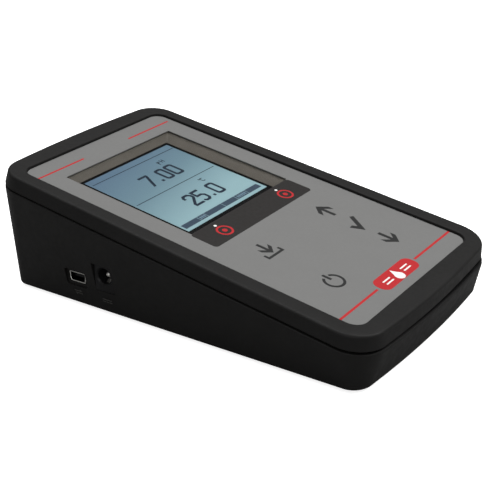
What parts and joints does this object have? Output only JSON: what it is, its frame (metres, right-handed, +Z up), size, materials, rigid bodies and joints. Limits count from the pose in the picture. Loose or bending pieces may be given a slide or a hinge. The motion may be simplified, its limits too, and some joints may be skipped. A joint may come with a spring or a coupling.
{
  "type": "benchtop water quality meter",
  "caption": "Wedge-shaped bench meter for water pH and temperature, with an LCD, membrane keys, side power and data sockets and rear probe sockets.",
  "frame": {"origin": "middle of the bounding box's footprint, on the surface that the feet stand on", "axes": "+X to the user's right, +Y to the back (the tall end with the probe sockets), +Z up"},
  "size_m": [0.0918, 0.1712, 0.0499],
  "materials": {
    "case_plastic": "fine satin texture, black",
    "gasket_rubber": "matt black",
    "foot_rubber": "matt black",
    "overlay_grey": "fine matt printed polyester film, mid grey",
    "overlay_dark": "fine matt printed polyester film, dark grey",
    "keypad_film": "translucent polyester",
    "spring_steel": "bright rolled steel",
    "window_pane": "clear, semi-gloss",
    "frame_plastic": "satin brown grey",
    "lcd": "pale blue grey liquid crystal behind glass",
    "white_plastic": "white moulded",
    "circuit_board": "green solder resist",
    "black_plastic": "black moulded",
    "plated_steel": "bright nickel or zinc plate",
    "contact_brass": "gold-coloured contact",
    "cable_sheath": "black sheath",
    "label_film": "silver grey film, unprinted"
  },
  "bodies": {
    "case": {"base_housing": "case_plastic", "top_cover": "case_plastic", "case_gasket": "gasket_rubber", "rubber_foot_1": "foot_rubber", "rubber_foot_2": "foot_rubber", "rubber_foot_3": "foot_rubber", "rubber_foot_4": "foot_rubber", "keypad_foil": "overlay_grey", "keypad_spacer": "keypad_film", "keypad_circuit": "keypad_film", "display_ribbon": "keypad_film", "dome_soft_left": "spring_steel", "dome_soft_right": "spring_steel", "dome_up": "spring_steel", "dome_enter": "spring_steel", "dome_down": "spring_steel", "dome_save": "spring_steel", "dome_power": "spring_steel", "usb_shell": "spring_steel", "dc_jack_pin": "spring_steel", "dc_jack_leaf": "spring_steel", "display_window": "window_pane", "display_frame": "frame_plastic", "lcd_glass": "lcd", "lcd_backlight": "white_plastic", "electrode_insulator": "white_plastic", "thermometer_insulator": "white_plastic", "display_board": "circuit_board", "main_board": "circuit_board", "usb_tongue": "black_plastic", "dc_jack_body": "black_plastic", "thermometer_socket": "black_plastic", "thermometer_nut": "black_plastic", "processor": "black_plastic", "buzzer": "black_plastic", "electrode_socket": "plated_steel", "electrode_nut": "plated_steel", "input_shield": "plated_steel", "case_screw_1": "plated_steel", "case_screw_2": "plated_steel", "case_screw_3": "plated_steel", "case_screw_4": "plated_steel", "display_screw_1": "plated_steel", "display_screw_2": "plated_steel", "board_screw_1": "plated_steel", "board_screw_2": "plated_steel", "board_screw_3": "plated_steel", "board_screw_4": "plated_steel", "electrode_contact": "contact_brass", "electrode_lead": "cable_sheath", "thermometer_lead": "cable_sheath", "rating_label": "label_film"},
    "softkey_left": {"softkey_left": "overlay_dark"},
    "softkey_right": {"softkey_right": "overlay_dark"},
    "key_up": {"key_up": "overlay_grey"},
    "key_enter": {"key_enter": "overlay_grey"},
    "key_down": {"key_down": "overlay_grey"},
    "key_save": {"key_save": "overlay_grey"},
    "key_power": {"key_power": "overlay_grey"}
  },
  "joints": [
    {"name": "softkey_left_press", "type": "slide", "parent": "case", "child": "softkey_left", "axis": [0, 0.184, -0.9829], "range_m": [0, 0.0003], "stiffness_N_per_m": 5000},
    {"name": "softkey_right_press", "type": "slide", "parent": "case", "child": "softkey_right", "axis": [0, 0.184, -0.9829], "range_m": [0, 0.0003], "stiffness_N_per_m": 5000},
    {"name": "key_up_press", "type": "slide", "parent": "case", "child": "key_up", "axis": [0, 0.184, -0.9829], "range_m": [0, 0.0003], "stiffness_N_per_m": 5000},
    {"name": "key_enter_press", "type": "slide", "parent": "case", "child": "key_enter", "axis": [0, 0.184, -0.9829], "range_m": [0, 0.0003], "stiffness_N_per_m": 5000},
    {"name": "key_down_press", "type": "slide", "parent": "case", "child": "key_down", "axis": [0, 0.184, -0.9829], "range_m": [0, 0.0003], "stiffness_N_per_m": 5000},
    {"name": "key_save_press", "type": "slide", "parent": "case", "child": "key_save", "axis": [0, 0.184, -0.9829], "range_m": [0, 0.0003], "stiffness_N_per_m": 5000},
    {"name": "key_power_press", "type": "slide", "parent": "case", "child": "key_power", "axis": [0, 0.184, -0.9829], "range_m": [0, 0.0003], "stiffness_N_per_m": 5000}
  ]
}
